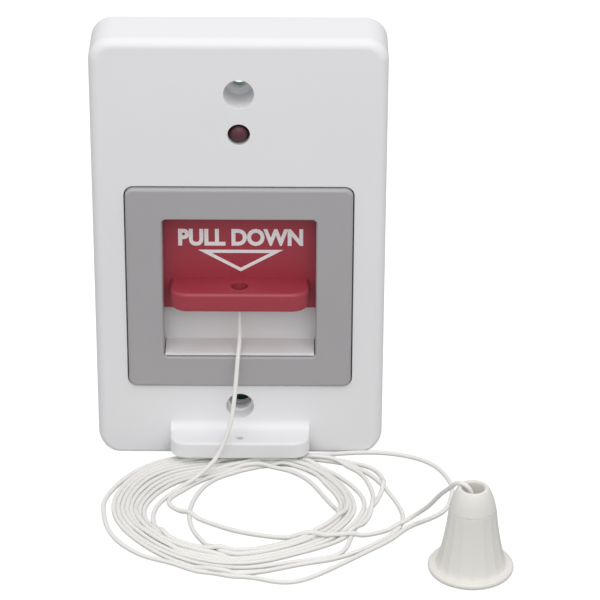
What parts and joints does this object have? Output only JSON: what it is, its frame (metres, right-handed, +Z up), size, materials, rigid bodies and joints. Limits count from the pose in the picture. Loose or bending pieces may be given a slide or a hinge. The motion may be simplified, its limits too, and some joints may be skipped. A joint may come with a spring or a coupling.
{
  "type": "emergency pull cord alarm",
  "caption": "White single-gang wall plate with a grey frame, a red pull slider with a shelf, an indicator lamp and a coiled white cord ending in a small bell.",
  "frame": {"origin": "middle of the plate's flat bottom edge face, halfway between the front face and the wall plane", "axes": "+X to the right as seen from the front, +Y away from the viewer towards the wall, +Z up along the plate"},
  "size_m": [0.0995, 0.0848, 0.1105],
  "materials": {
    "white_plastic": "satin",
    "grey_plastic": "satin",
    "red_plastic": "satin",
    "lamp_red": "gloss",
    "board_green": "solder mask",
    "block_green": "satin",
    "black_plastic": "satin",
    "resistor_tan": "lacquered",
    "steel": "plated",
    "cord_white": "braided"
  },
  "bodies": {
    "housing": {"faceplate": "white_plastic", "bezel_frame": "grey_plastic", "slide_tray": "white_plastic", "friction_spring_left": "steel", "friction_spring_right": "steel", "circuit_board": "board_green", "indicator_lamp": "lamp_red", "lamp_spacer": "white_plastic", "lamp_lead_left": "steel", "lamp_lead_right": "steel", "switch_body": "black_plastic", "switch_pin_1": "steel", "switch_pin_2": "steel", "switch_pin_3": "steel", "terminal_block": "block_green", "terminal_screw_1": "steel", "terminal_screw_2": "steel", "terminal_screw_3": "steel", "tray_screw_1": "steel", "tray_screw_2": "steel", "tray_screw_3": "steel", "tray_screw_4": "steel", "board_screw_1": "steel", "board_screw_2": "steel", "board_screw_3": "steel", "board_screw_4": "steel", "resistor_1": "resistor_tan", "resistor_2": "resistor_tan", "diode": "black_plastic", "capacitor": "black_plastic", "cord_drop": "cord_white", "cord_coil": "cord_white", "cord_loop": "cord_white", "cord_tail": "cord_white", "bell_knot": "cord_white", "pull_bell": "white_plastic"},
    "slider": {"pull_slider": "red_plastic", "cord_knot": "cord_white"},
    "button": {"switch_button": "red_plastic"}
  },
  "joints": [
    {"name": "slider_pull", "type": "slide", "parent": "housing", "child": "slider", "axis": [0, 0, -1], "range_m": [0, 0.0094]},
    {"name": "button_release", "type": "slide", "parent": "housing", "child": "button", "axis": [-1, 0, 0], "range_m": [0, 0.00096]}
  ],
  "couplings": [
    {"joint": "button_release", "follows": "slider_pull", "ratio": 0.10106}
  ]
}
